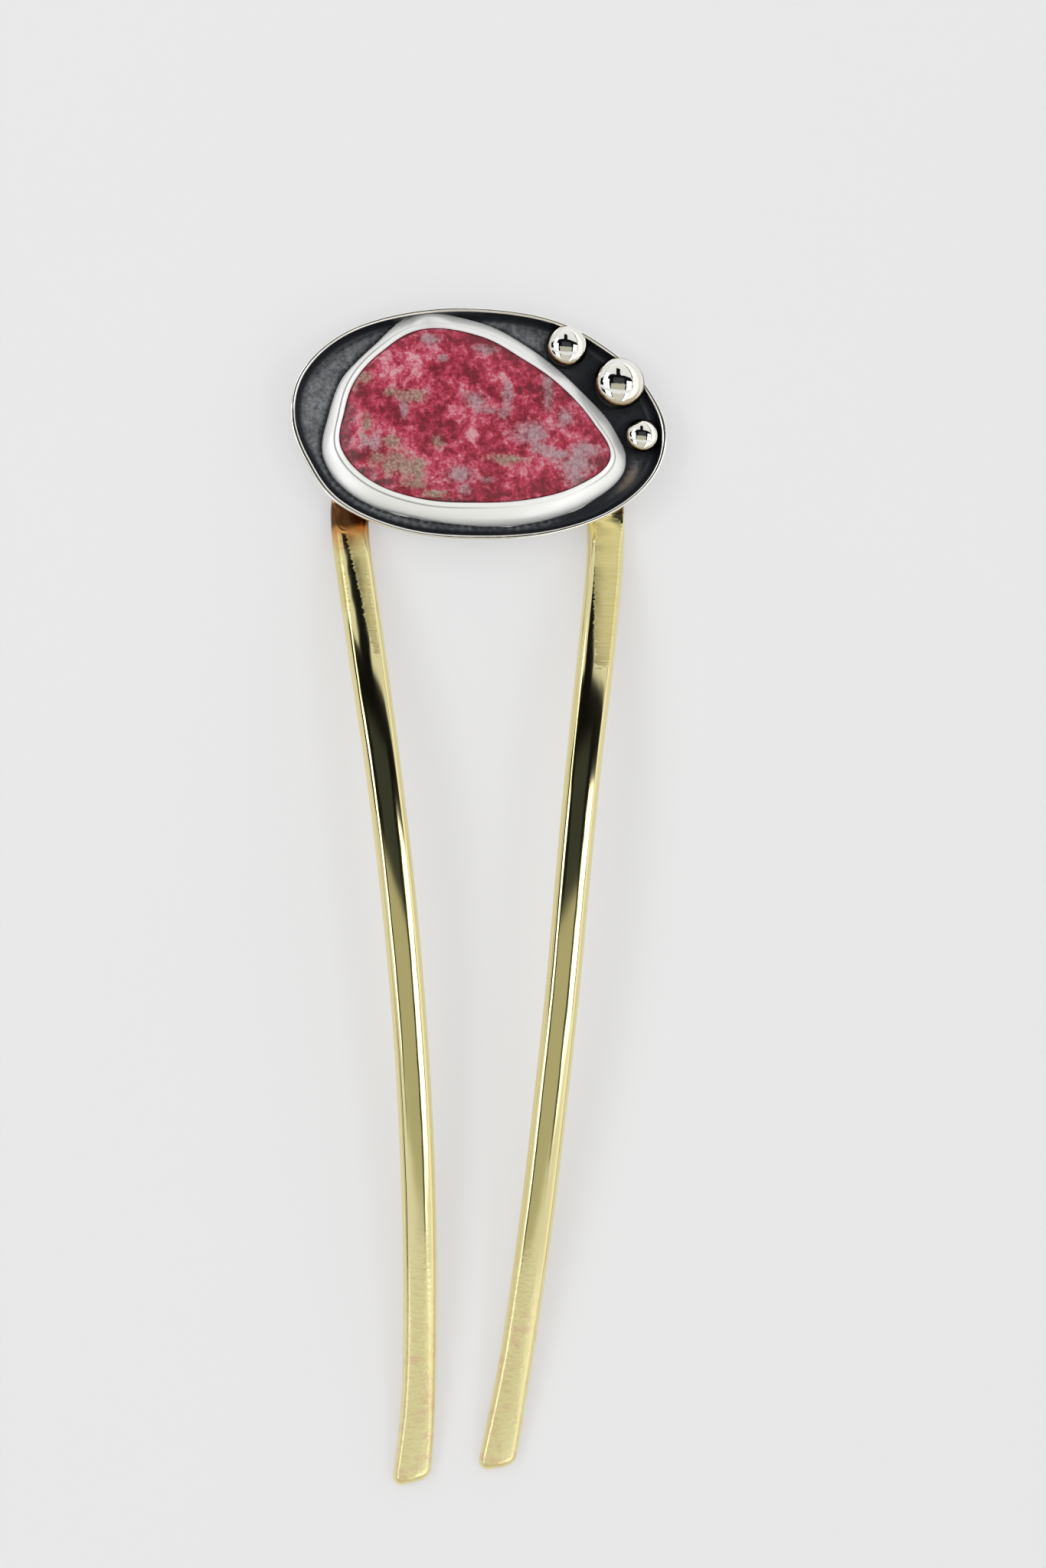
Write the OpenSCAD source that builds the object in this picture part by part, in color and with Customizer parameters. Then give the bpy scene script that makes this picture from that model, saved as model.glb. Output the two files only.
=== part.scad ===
// Hair fork: a freeform stone in a bezel and three balls, set in an oval silver pan
// that is carried on a two-pronged brass fork. It lies face up on a table.
// +X runs to the right across the pan, +Y from the tips to the pan, +Z out of the face.
// All sizes are millimetres.

/* [Stone] */
// Length of the stone that shows inside the lip
stone_len = 34.9; // [26:0.1:40]
// Width of the stone that shows inside the lip
stone_wid = 22.4; // [17:0.1:26]
// Sideways place of the stone's middle in the pan
stone_x = -0.4; // [-1.5:0.1:1]
// Place of the stone's middle in the pan, towards the crown end
stone_y = 0.7; // [0:0.1:0.9]
// Height of the dome above the lip
dome_h = 1.5; // [0.8:0.1:3]
// Clearance between the stone and the metal
stone_fit = 0.05; // [0.03:0.01:0.1]

/* [Bezel] */
// How far the bezel's foot stands out past the edge of the stone
foot_reach = 2.15; // [1.8:0.05:3]
// Sideways shift of the foot under the stone
foot_shift = 0.1; // [-0.2:0.1:0.4]
// Shift of the foot under the stone towards the prongs
foot_drop = 0.3; // [0:0.1:0.5]
// Height of the bezel above the floor of the pan
bezel_h = 1.8; // [1.6:0.05:2.4]
// Slope of the bezel's broad shoulder between its wall and the stone, in degrees
shoulder_slope = 27; // [20:1:30]
// Thickness of the bezel's wall
wall_t = 0.7; // [0.5:0.05:0.9]
// Thickness of the bezel at the edge of the stone
lip_t = 0.3; // [0.2:0.05:0.4]
// How far the stone's girdle reaches out under the lip
girdle_w = 0.4; // [0.2:0.05:0.6]

/* [Pan] */
// Width of the channel between the bezel and the ends of the pan
channel_end = 4.6; // [4:0.1:7]
// Width of the channel between the bezel and the long sides of the pan
channel_side = 1.6; // [1.4:0.1:4]
// Depth of the pan from its rim to its floor
pan_depth = 2.2; // [1.4:0.1:3]
// Thickness of the pan's sheet
sheet_t = 0.9; // [0.6:0.05:1.3]
// Width of the polished rim
rim_w = 0.6; // [0.5:0.05:0.8]
// Rounding of the rim's two edges
rim_round = 0.12; // [0.05:0.01:0.2]
// How far the curved side reaches in from the rim
side_run = 1.3; // [0.8:0.1:2]

/* [Balls] */
// Diameter of the large ball
ball_large = 6.6; // [5:0.1:7.2]
// Diameter of the middle ball
ball_middle = 5.4; // [4:0.1:6]
// Diameter of the small ball
ball_small = 4.4; // [3:0.1:5]
// Height of a ball as a share of its diameter, as a melted ball settles under its own weight
ball_settle = 0.65; // [0.55:0.05:1]
// How deep each ball is sunk in the floor of the pan
ball_sink = 0.15; // [0.1:0.05:0.4]

/* [Fork] */
// Length of the left prong, from the yoke's bend to its tip
prong_len = 122.7; // [90:0.1:150]
// How much shorter the right prong is
tip_stagger = 1.9; // [0:0.1:5]
// Width of a prong where it leaves the pan
prong_w = 4.75; // [3.5:0.05:6]
// Thickness of a prong
prong_t = 2.4; // [2:0.05:3.2]
// Crown of a prong's front face where it is fullest
prong_crown = 0.55; // [0.1:0.05:0.7]
// Thickness of the yoke that is hammered flat behind the pan
yoke_t = 1.9; // [1.4:0.05:2.4]
// Length of the shoulder where the yoke thickens to the prong
shoulder_len = 3.5; // [2:0.1:6]
// Distance between the middles of the prongs at the yoke
spread = 33; // [26:0.1:36]
// Distance between the middles of the tips
tip_spread = 10.7; // [8:0.1:20]
// How far the pair of prongs bows to the right
sway = 2; // [0:0.1:4]
// Height that the backs of the prongs arch off the table
arch_h = 8; // [4:0.1:14]
// How far the prongs start above the pan's lower edge
prong_inset = 3.6; // [3:0.1:6]
// Radius of the rounded corners of each tip
tip_round = 1.5; // [0.6:0.1:1.8]
// Slant of each tip's end, as its rise for each millimetre to the right
tip_slant = 0.3; // [0:0.05:0.4]
// Solder gap between the yoke and the pan
solder_gap = 0.05; // [0.03:0.01:0.1]

/* [Hidden] */

SILVER = [0.86, 0.86, 0.84];
STONE_PINK = [0.74, 0.33, 0.44];
BRASS = [0.84, 0.77, 0.50];

// Sizes that follow from the named ones
foot_len = stone_len + 2 * foot_reach;
foot_wid = stone_wid + 2 * foot_reach;
pan_len = foot_len + 2 * channel_end;
pan_wid = foot_wid + 2 * channel_side;

// Heights above the table
pan_z = yoke_t + solder_gap;
floor_z = pan_z + sheet_t;
rim_z = floor_z + pan_depth;
lip_z = floor_z + bezel_h;

// Outlines as bulges on plain ovals, one row for every 22.5 degrees from the right-hand end
PAN = 0;
EDGE = 1;
FOOT = 2;
BULGE = [
  // pan, stone's edge, bezel's foot
  [0.995, 0.865, 0.900],
  [0.965, 0.760, 0.770],
  [0.970, 0.740, 0.750],
  [1.000, 0.790, 0.815],
  [0.995, 0.950, 0.960],
  [1.010, 1.080, 1.080],
  [1.035, 1.010, 0.970],
  [1.025, 0.975, 0.950],
  [1.000, 0.975, 0.965],
  [0.995, 1.070, 1.070],
  [1.045, 1.085, 1.090],
  [1.035, 1.030, 1.015],
  [1.000, 0.970, 0.995],
  [1.005, 0.990, 1.020],
  [1.015, 1.045, 1.045],
  [1.015, 1.070, 1.060],
];

// One prong from the yoke to its tip
ALONG = 0;
SPREAD = 1;
SWAY = 2;
LIFT = 3;
WIDTH = 4;
THICK = 5;
CROWN = 6;
PRONG = [
  // share of length, of the spread, of the sway, of the arch, of the width, of the thickness, of the crown
  [0.00, 1.000, 0.20, 0.00, 1.00, 1.00, 0.30],
  [0.03, 0.988, 0.22, 0.12, 1.00, 1.00, 0.30],
  [0.06, 0.954, 0.25, 0.29, 1.00, 1.00, 0.35],
  [0.16, 0.814, 0.33, 0.69, 1.00, 1.00, 0.55],
  [0.27, 0.656, 0.47, 0.93, 0.95, 1.00, 0.80],
  [0.38, 0.521, 0.68, 1.00, 0.93, 0.98, 0.95],
  [0.50, 0.397, 0.89, 0.94, 0.91, 0.96, 1.00],
  [0.62, 0.282, 0.99, 0.75, 0.91, 0.94, 1.00],
  [0.74, 0.182, 0.96, 0.51, 0.90, 0.92, 0.95],
  [0.87, 0.080, 0.70, 0.23, 0.88, 0.88, 0.70],
  [0.94, 0.029, 0.40, 0.10, 0.92, 0.82, 0.50],
  [1.00, 0.000, 0.00, 0.00, 1.02, 0.72, 0.40],
];

// Balls in the channel at the right-hand end, with places as shares of the pan's half length and width
BALLS = [
  // diameter, along the length, along the width
  [ball_large, 0.734, 0.396],
  [ball_middle, 0.452, 0.700],
  [ball_small, 0.868, -0.039],
];

// Shapes that are the same at any size
SHOULDER_SWELL = 0.5;
LEAST_WALL = 0.15;
SEAT_DROP = 1.4;
BASE_LIFT = 3;
YOKE_ROUND = 0.3;
PRONG_ROUND = 0.9;
TIP_THINNING = 0.6;
SLANT_RUN = 6;

// Numbers of facets
ROUND_STEPS = 120;
SIDE_STEPS = 4;
SHOULDER_STEPS = 3;
PRONG_STEPS = 24;
YOKE_STEPS = 16;
TIP_STEPS = 4;
CORNER_STEPS = 4;

function mix(a, b, share) = a + (b - a) * share;
function flat(lists) = [for (list = lists) for (item = list) item];
function column(rows, col) = [for (row = rows) row[col]];

// Curve through two neighbours that leaves and arrives with the given rises
function ease(from, to, leave, arrive, u) =
  from * (1 + 2 * u) * (1 - u) * (1 - u) + leave * u * (1 - u) * (1 - u)
  + to * u * u * (3 - 2 * u) + arrive * u * u * (u - 1);

// Smooth value of a closed table column at a bearing
function bulge_row(i, col) = BULGE[(i + len(BULGE)) % len(BULGE)][col];
function bulge_rise(i, col) = (bulge_row(i + 1, col) - bulge_row(i - 1, col)) / 2;
function bulge(a, col) =
  let (place = a / 360 * len(BULGE), i = floor(place))
  ease(bulge_row(i, col), bulge_row(i + 1, col), bulge_rise(i, col), bulge_rise(i + 1, col), place - i);

// Smooth value of an open table column at a share of the length
function table_slope(rows, i, col) =
  i == 0 ? 0
  : let (before = rows[i - 1], after = rows[min(i + 1, len(rows) - 1)])
  (after[col] - before[col]) / (after[ALONG] - before[ALONG]);
function table_at(rows, t, col) =
  let (
    i = max([for (k = [0:len(rows) - 2]) if (rows[k][ALONG] <= t) k]),
    step = rows[i + 1][ALONG] - rows[i][ALONG]
  )
  ease(
    rows[i][col], rows[i + 1][col],
    table_slope(rows, i, col) * step, table_slope(rows, i + 1, col) * step,
    (t - rows[i][ALONG]) / step
  );

// Outlines of the pan, the stone's edge and the bezel's foot at a bearing
bearings = [for (i = [0:ROUND_STEPS - 1]) 360 * i / ROUND_STEPS];
stone_mid = [stone_x, stone_y];
foot_mid = stone_mid + [foot_shift, -foot_drop];
function oval(length, width, a, col) = bulge(a, col) * [length / 2 * cos(a), width / 2 * sin(a)];
function pan_edge(a) = oval(pan_len, pan_wid, a, PAN);
function stone_edge(a) = stone_mid + oval(stone_len, stone_wid, a, EDGE);
function foot_edge(a) = foot_mid + oval(foot_len, foot_wid, a, FOOT);

// A point moved away from a middle by a distance, or in towards it
function spread_out(p, mid, d) = p + (p - mid) * (d / norm(p - mid));
function at_height(p, z) = [p[0], p[1], z];

// The pan's inner side is a quarter of an oval that the bezel's foot may cut short
function rim_inside(a) = spread_out(pan_edge(a), [0, 0], -rim_w);
function channel_w(a) = max(0.1, norm(rim_inside(a)) - norm(foot_edge(a)));
function side_turn(a) = acos(1 - min(side_run, 0.9 * channel_w(a)) / side_run);
function side_z(turn) = floor_z + (pan_depth - rim_round) * (1 - sin(turn));
function side_point(a, share) =
  let (
    turn = side_turn(a) * share,
    inner = rim_inside(a),
    run = side_run * (1 - cos(turn)),
    way = foot_edge(a) - inner
  )
  at_height(inner + way * (run / norm(way)), side_z(turn));

function pan_rings() =
  let (outer_run = side_run + rim_w, outer_h = rim_z - rim_round - pan_z)
  concat(
    [for (k = [0:SIDE_STEPS])
      let (turn = 90 * k / SIDE_STEPS)
      [for (a = bearings)
        at_height(
          spread_out(pan_edge(a), [0, 0], -outer_run * (1 - sin(turn))),
          pan_z + outer_h * (1 - cos(turn))
        )]],
    [[for (a = bearings) at_height(spread_out(pan_edge(a), [0, 0], -rim_round), rim_z)]],
    [[for (a = bearings) at_height(spread_out(pan_edge(a), [0, 0], rim_round - rim_w), rim_z)]],
    [for (k = [0:SIDE_STEPS]) [for (a = bearings) side_point(a, k / SIDE_STEPS)]]
  );

// The bezel's wall stands up from its foot and rounds over in a broad shoulder that holds the stone
function foot_z(a) = side_z(side_turn(a));
function wall_z(a) =
  max(foot_z(a) + LEAST_WALL, lip_z - tan(shoulder_slope) * norm(foot_edge(a) - stone_edge(a)));
function shoulder_point(a, share) =
  let (swell = share * (1 + SHOULDER_SWELL * (1 - share)))
  at_height(mix(foot_edge(a), stone_edge(a), share), mix(wall_z(a), lip_z, swell));
seat_z = lip_z - lip_t - SEAT_DROP * girdle_w;

// The hollow's side leans in from the floor of the pan to the seat under the lip
function hollow_edge(a, z) =
  mix(
    spread_out(foot_edge(a), foot_mid, -wall_t),
    spread_out(stone_edge(a), stone_mid, girdle_w + stone_fit),
    (z - floor_z) / (seat_z - floor_z)
  );
function bezel_rings() = concat(
  [[for (a = bearings) at_height(foot_edge(a), foot_z(a))]],
  [for (k = [0:SHOULDER_STEPS]) [for (a = bearings) shoulder_point(a, k / SHOULDER_STEPS)]],
  [
    [for (a = bearings) at_height(stone_edge(a), lip_z - lip_t)],
    [for (a = bearings) at_height(hollow_edge(a, seat_z), seat_z)],
    [for (a = bearings) at_height(hollow_edge(a, floor_z), floor_z)],
  ]
);

// The stone follows the hollow of the bezel at its clearance and domes up inside the lip
DOME = [0.99, 0.96, 0.90, 0.80, 0.65, 0.45, 0.22];
girdle_z = lip_z - lip_t / 2;
function dome_point(a, share) =
  let (edge = spread_out(stone_edge(a), stone_mid, -stone_fit))
  at_height(
    stone_mid + (edge - stone_mid) * share,
    girdle_z + (lip_z + dome_h - girdle_z) * sqrt(1 - share * share)
  );
function stone_rings() = concat(
  [
    [for (a = bearings)
      at_height(
        spread_out(hollow_edge(a, floor_z + BASE_LIFT * stone_fit), stone_mid, -stone_fit),
        floor_z + stone_fit
      )],
    [for (a = bearings)
      at_height(spread_out(stone_edge(a), stone_mid, girdle_w), seat_z - stone_fit)],
    [for (a = bearings)
      at_height(spread_out(stone_edge(a), stone_mid, -stone_fit), lip_z - lip_t - stone_fit)],
    [for (a = bearings) dome_point(a, 1)],
  ],
  [for (share = DOME) [for (a = bearings) dome_point(a, share)]]
);

// A closed solid through rings of equal length, capped at both ends round a middle point
module ring_stack(rings, first_mid, last_mid) {
  n = len(rings[0]);
  m = len(rings);
  points = concat(flat(rings), [first_mid, last_mid]);
  faces = concat(
    [for (i = [0:n - 1]) [n * m, (i + 1) % n, i]],
    [for (k = [0:m - 2]) for (i = [0:n - 1])
      let (j = (i + 1) % n)
      each [[k * n + i, k * n + j, (k + 1) * n + j], [k * n + i, (k + 1) * n + j, (k + 1) * n + i]]],
    [for (i = [0:n - 1]) [n * m + 1, (m - 1) * n + i, (m - 1) * n + (i + 1) % n]]
  );
  polyhedron(points = points, faces = [for (f = faces) [f[2], f[1], f[0]]], convexity = 8);
}

// A prong's path, side -1 on the left and 1 on the right, t from 0 at the yoke to 1 at the tip
prong_y = prong_inset - pan_wid / 2;
function prong_span(side) = prong_len - (side > 0 ? tip_stagger : 0);
function prong_x(side, t) =
  side * mix(tip_spread, spread, table_at(PRONG, t, SPREAD)) / 2 + sway * table_at(PRONG, t, SWAY);
function prong_point(side, t) =
  [prong_x(side, t), prong_y - prong_span(side) * t, arch_h * table_at(PRONG, t, LIFT)];

// How far a tip's rounding cuts in at a distance from its end
function round_cut(from_end, r) = from_end >= r ? 0 : r - sqrt(r * r - (r - from_end) * (r - from_end));

// A station is a point of the back's middle line, a half width, a thickness, a corner radius, a crown
// and a slant
function shoulder(side, t) =
  let (u = min(1, t * prong_span(side) / shoulder_len)) u * u * (3 - 2 * u);
function prong_station(side, t) =
  let (
    from_end = prong_span(side) * (1 - t),
    cut = round_cut(from_end, tip_round),
    formed = shoulder(side, t),
    thick = mix(yoke_t, prong_t * table_at(PRONG, t, THICK), formed) - TIP_THINNING * cut,
    r = mix(YOKE_ROUND, PRONG_ROUND, formed) * thick / 2,
    crown = prong_crown * table_at(PRONG, t, CROWN) * formed
  )
  [
    prong_point(side, t), prong_w * table_at(PRONG, t, WIDTH) / 2 - cut, thick - crown, r, crown,
    tip_slant * max(0, 1 - from_end / SLANT_RUN)
  ];
function prong_steps(side) = concat(
  [for (i = [0:PRONG_STEPS - 1]) (1 - tip_round / prong_span(side)) * i / PRONG_STEPS],
  [for (i = [0:TIP_STEPS]) 1 - tip_round / prong_span(side) * (1 - sin(90 * i / TIP_STEPS))]
);
function reversed(list) = [for (i = [len(list) - 1:-1:0]) list[i]];

// The yoke is a half ring behind the pan
yoke_mid = [sway * PRONG[0][SWAY], prong_y];
function yoke_station(a) =
  let (p = yoke_mid + spread / 2 * [cos(a), sin(a)])
  [at_height(p, 0), prong_w / 2, yoke_t, YOKE_ROUND * yoke_t / 2, 0, 0];

fork_stations = concat(
  [for (t = reversed(prong_steps(-1))) prong_station(-1, t)],
  [for (i = [1:YOKE_STEPS - 1]) yoke_station(180 - 180 * i / YOKE_STEPS)],
  [for (t = prong_steps(1)) prong_station(1, t)]
);

// The bar's section stands square to its path in plan, flat below and lightly crowned above
function section(i) =
  let (
    last = len(fork_stations) - 1,
    here = fork_stations[i],
    way = fork_stations[min(i + 1, last)][0] - fork_stations[max(i - 1, 0)][0],
    across = [way[1], -way[0], 0] / norm([way[0], way[1]]),
    half = here[1],
    thick = here[2],
    r = here[3]
  )
  concat(
    [for (corner = [2:5]) for (k = [0:CORNER_STEPS])
      let (
        a = 90 * (corner - 1) + 90 * k / CORNER_STEPS,
        u = (corner < 4 ? r - half : half - r) + r * cos(a),
        v = (corner == 2 || corner == 5 ? thick - r : r) + r * sin(a),
        rise = v > thick / 2 ? here[4] * (1 - u * u / (half * half)) : 0
      )
      here[0] + across * u + [0, here[5] * across[0] * u, v + rise]],
    [here[0] + [0, 0, thick + here[4]]]
  );

// The middle of the whole fork's box stands over the origin
function tip_y(side) = prong_y - prong_span(side);
pan_points = [for (a = bearings) pan_edge(a)];
bar_points = flat([for (i = [0:len(fork_stations) - 1]) section(i)]);
xs = concat(column(pan_points, 0), column(bar_points, 0));
ys = concat(column(pan_points, 1), column(bar_points, 1));
origin_shift = [-(min(xs) + max(xs)) / 2, -(min(ys) + max(ys)) / 2, 0];

module pan_and_bezel() {
  ring_stack(concat(pan_rings(), bezel_rings()), [0, 0, pan_z], at_height(stone_mid, floor_z));
}

module balls() {
  for (ball = BALLS) {
    middle_z = floor_z - ball_sink + ball_settle * ball[0] / 2;
    translate([ball[1] * pan_len / 2, ball[2] * pan_wid / 2, middle_z])
      scale([1, 1, ball_settle])
        sphere(d = ball[0], $fn = 48);
  }
}

module setting() {
  color(SILVER)
    translate(origin_shift)
      union() {
        pan_and_bezel();
        balls();
      }
}

module cabochon() {
  underside = at_height(stone_mid, floor_z + stone_fit);
  crest = at_height(stone_mid, lip_z + dome_h);
  color(STONE_PINK)
    translate(origin_shift)
      ring_stack(stone_rings(), underside, crest);
}

module fork() {
  sections = [for (i = [0:len(fork_stations) - 1]) section(i)];
  function middle(ring) = [for (c = [0:2]) (min(column(ring, c)) + max(column(ring, c))) / 2];
  color(BRASS)
    translate(origin_shift)
      ring_stack(sections, middle(sections[0]), middle(sections[len(sections) - 1]));
}

setting();
cabochon();
fork();
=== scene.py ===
# %% [markdown]
# # A hair fork with a stone, a silver pan and brass prongs
#
# This lesson dresses a hair fork that a metalsmith made by hand. An oval pan of silver sheet holds a
# freeform stone in its bezel and three melted silver balls. The pan is soldered on a flat brass fork.
# The solids were made in a CAD program. Here each of them gets a finer skin of the same size, the
# finish of the real metal and stone, and the light that polished metal needs, because a mirror is
# only as good as what it reflects.

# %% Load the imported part
import math

import bpy
import numpy as np
from mathutils import Euler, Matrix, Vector


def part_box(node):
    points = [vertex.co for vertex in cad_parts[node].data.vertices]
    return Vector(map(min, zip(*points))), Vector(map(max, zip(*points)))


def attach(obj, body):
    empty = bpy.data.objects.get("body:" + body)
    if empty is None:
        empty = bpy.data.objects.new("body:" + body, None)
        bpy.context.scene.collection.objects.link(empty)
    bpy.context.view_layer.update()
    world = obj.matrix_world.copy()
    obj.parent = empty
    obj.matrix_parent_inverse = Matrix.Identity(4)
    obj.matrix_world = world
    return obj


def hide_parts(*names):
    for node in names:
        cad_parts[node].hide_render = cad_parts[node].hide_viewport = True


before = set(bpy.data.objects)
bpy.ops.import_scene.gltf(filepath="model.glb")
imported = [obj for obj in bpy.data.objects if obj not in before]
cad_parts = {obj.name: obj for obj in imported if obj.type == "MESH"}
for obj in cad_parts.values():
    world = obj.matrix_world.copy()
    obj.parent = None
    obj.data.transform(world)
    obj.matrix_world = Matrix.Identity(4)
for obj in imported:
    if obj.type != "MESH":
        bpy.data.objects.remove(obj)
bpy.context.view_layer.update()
print("nodes:", sorted(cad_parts))

# %% [markdown]
# ## Sizes
# All sizes are in millimetres, as on a jeweller's rule, and they are the ones of the solids. They turn
# into metres only when a mesh is made, so the numbers stay easy to read beside a real ruler.

# %% Sizes of the silver, the stone and the fork
MM = 0.001
STONE_LEN, STONE_WID, STONE_MID = 34.9, 22.4, np.array([-0.4, 0.7])
FOOT_REACH, FOOT_MID = 2.15, STONE_MID + [0.1, -0.3]
BEZEL_H, SHOULDER_SLOPE, LIP_T, DOME_H = 1.8, 27, 0.3, 1.5
CHANNEL_END, CHANNEL_SIDE, PAN_DEPTH, SHEET_T, RIM_W, SIDE_RUN = 4.6, 1.6, 2.2, 0.9, 0.6, 1.3
FOOT_LEN, FOOT_WID = STONE_LEN + 2 * FOOT_REACH, STONE_WID + 2 * FOOT_REACH
PAN_LEN, PAN_WID = FOOT_LEN + 2 * CHANNEL_END, FOOT_WID + 2 * CHANNEL_SIDE
YOKE_T, SOLDER_GAP = 1.9, 0.05
PAN_Z = YOKE_T + SOLDER_GAP
FLOOR_Z = PAN_Z + SHEET_T
RIM_Z = FLOOR_Z + PAN_DEPTH
LIP_Z = FLOOR_Z + BEZEL_H
print(f"pan {PAN_LEN:.1f} x {PAN_WID:.1f} mm, lip {LIP_Z:.2f} mm above the table")

# %% [markdown]
# ## Outlines
# Nothing on this fork is a true oval, because the stone was cut freely and the pan was bent to follow
# it. Each outline is an oval with a bulge for every 22.5 degrees, and a smooth curve runs through the
# bulges. Drawing it this way keeps the whole outline in one short row that is easy to adjust.

# %% Smooth outlines from sixteen bulges
ROUND = 480
bearings = np.linspace(0, 2 * np.pi, ROUND, endpoint=False)
PAN_BULGE = [.995, .965, .97, 1, .995, 1.01, 1.035, 1.025, 1, .995, 1.045, 1.035, 1, 1.005, 1.015, 1.015]
EDGE_BULGE = [.865, .76, .74, .79, .95, 1.08, 1.01, .975, .975, 1.07, 1.085, 1.03, .97, .99, 1.045, 1.07]
FOOT_BULGE = [.90, .77, .75, .815, .96, 1.08, .97, .95, .965, 1.07, 1.09, 1.015, .995, 1.02, 1.045, 1.06]


def smooth_step_between(a, b, leave, arrive, u):
    """A curve from a to b that leaves and arrives with the given rises, u from 0 to 1."""
    return (a * (1 + 2 * u) * (1 - u) ** 2 + leave * u * (1 - u) ** 2
            + b * u * u * (3 - 2 * u) + arrive * u * u * (u - 1))


def bulged_oval(length, width, bulges):
    """An oval of that length and width, swollen by the bulges, as one point for each bearing."""
    row = np.array(bulges, float)
    rise = (np.roll(row, -1) - np.roll(row, 1)) / 2
    place = bearings / (2 * np.pi) * len(row)
    i = np.floor(place).astype(int) % len(row)
    j = (i + 1) % len(row)
    swell = smooth_step_between(row[i], row[j], rise[i], rise[j], place - np.floor(place))
    oval = np.stack([length / 2 * np.cos(bearings), width / 2 * np.sin(bearings)], 1)
    return swell[:, None] * oval


def spread_out(outline, middle, distance):
    """The outline moved away from its middle by a distance, or in towards it."""
    arm = outline - middle
    reach = np.linalg.norm(arm, axis=1, keepdims=True)
    return outline + arm / reach * np.reshape(distance, (-1, 1))


pan_edge = bulged_oval(PAN_LEN, PAN_WID, PAN_BULGE)
stone_edge = STONE_MID + bulged_oval(STONE_LEN, STONE_WID, EDGE_BULGE)
foot_edge = FOOT_MID + bulged_oval(FOOT_LEN, FOOT_WID, FOOT_BULGE)
print("outlines of", ROUND, "points each")

# %% [markdown]
# ## Where the pan lies
# The middle of the pan's outline is laid on the middle of the solid pan's box, so each new skin falls
# exactly on the solid that it dresses.

# %% Find the pan's middle in the frame
low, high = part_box("setting")
pan_middle = np.array([(low.x + high.x) / 2, (low.y + high.y) / 2]) / MM
pan_middle -= (pan_edge.min(0) + pan_edge.max(0)) / 2
print("pan's middle at", pan_middle.round(2), "mm")

# %% [markdown]
# ## Skins from rings
# A raised or formed piece of sheet metal is a stack of outlines, each a little further in and higher.
# One helper joins such rings with four-sided faces and closes each end with a middle point. Four-sided
# faces in even rows shade smoothly, which matters more on polished metal than on anything else.


# %% A helper that joins rings into a mesh
def ring_mesh(name, rings, close_first=True, close_last=True, loop=True):
    """A smooth object through rings of points in millimetres round the pan's middle."""
    rings = np.array(rings, float)
    m, n, _ = rings.shape
    points = [tuple(p) for p in rings.reshape(-1, 3)]
    faces = []
    for k in range(m - 1):
        for i in range(n if loop else n - 1):
            j = (i + 1) % n
            faces.append((k * n + i, k * n + j, (k + 1) * n + j, (k + 1) * n + i))
    if close_first:
        points.append(tuple(rings[0].mean(0)))
        faces += [(len(points) - 1, (i + 1) % n, i) for i in range(n)]
    if close_last:
        points.append(tuple(rings[-1].mean(0)))
        base = (m - 1) * n
        faces += [(len(points) - 1, base + i, base + (i + 1) % n) for i in range(n)]
    middle = np.array([pan_middle[0], pan_middle[1], 0.0])
    mesh = bpy.data.meshes.new(name)
    mesh.from_pydata([tuple((np.array(p) + middle) * MM) for p in points], [], faces)
    mesh.shade_smooth()
    piece = bpy.data.objects.new(name, mesh)
    bpy.context.scene.collection.objects.link(piece)
    print(f"{name}: {len(faces)} faces")
    return piece


def raised(outline, z):
    """An outline set at a height, or at a height for each of its points."""
    return np.column_stack([outline, np.broadcast_to(z, len(outline))])


def paint(piece, name, values):
    """Stores a number for each point of the mesh, which a material can read by its name."""
    field = piece.data.attributes.new(name, "FLOAT", "POINT")
    field.data.foreach_set("value", np.asarray(values, np.float32))


# %% [markdown]
# ## The pan
# The pan is a disc of thick sheet that was dished in a hollow block, so its side sweeps up in one curve
# and its rim was filed and polished half round. The rings start in the middle of the back, go round the
# outer side and over the rim, and come down the inner side to the floor. Hand work never leaves a floor
# truly flat, so a few slow waves of some hundredths of a millimetre run over it.

# %% Rings of the pan
SIDE_TURNS = 20
RIM_TURNS = 12
RIM_CROWN = 0.22
rim_width = RIM_W * (1 + 0.12 * np.sin(bearings * 2 + 0.6) + 0.05 * np.sin(bearings * 5 + 2.0))
rim_inside = spread_out(pan_edge, [0, 0], -rim_width)
outer_run, outer_h = SIDE_RUN + RIM_W, RIM_Z - RIM_CROWN - PAN_Z
channel = np.maximum(0.1, np.linalg.norm(rim_inside, axis=1) - np.linalg.norm(foot_edge, axis=1))
side_turn = np.arccos(1 - np.minimum(SIDE_RUN, 0.9 * channel) / SIDE_RUN)
towards_foot = foot_edge - rim_inside
towards_foot /= np.linalg.norm(towards_foot, axis=1, keepdims=True)


def floor_wave(x, y):
    """Slow unevenness of a hammered floor, in millimetres."""
    return (0.020 * np.sin(0.55 * x + 0.31 * y + 0.8) + 0.015 * np.sin(0.92 * y - 0.27 * x)
            + 0.010 * np.sin(1.7 * x - 1.1 * y + 2.1))


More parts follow.
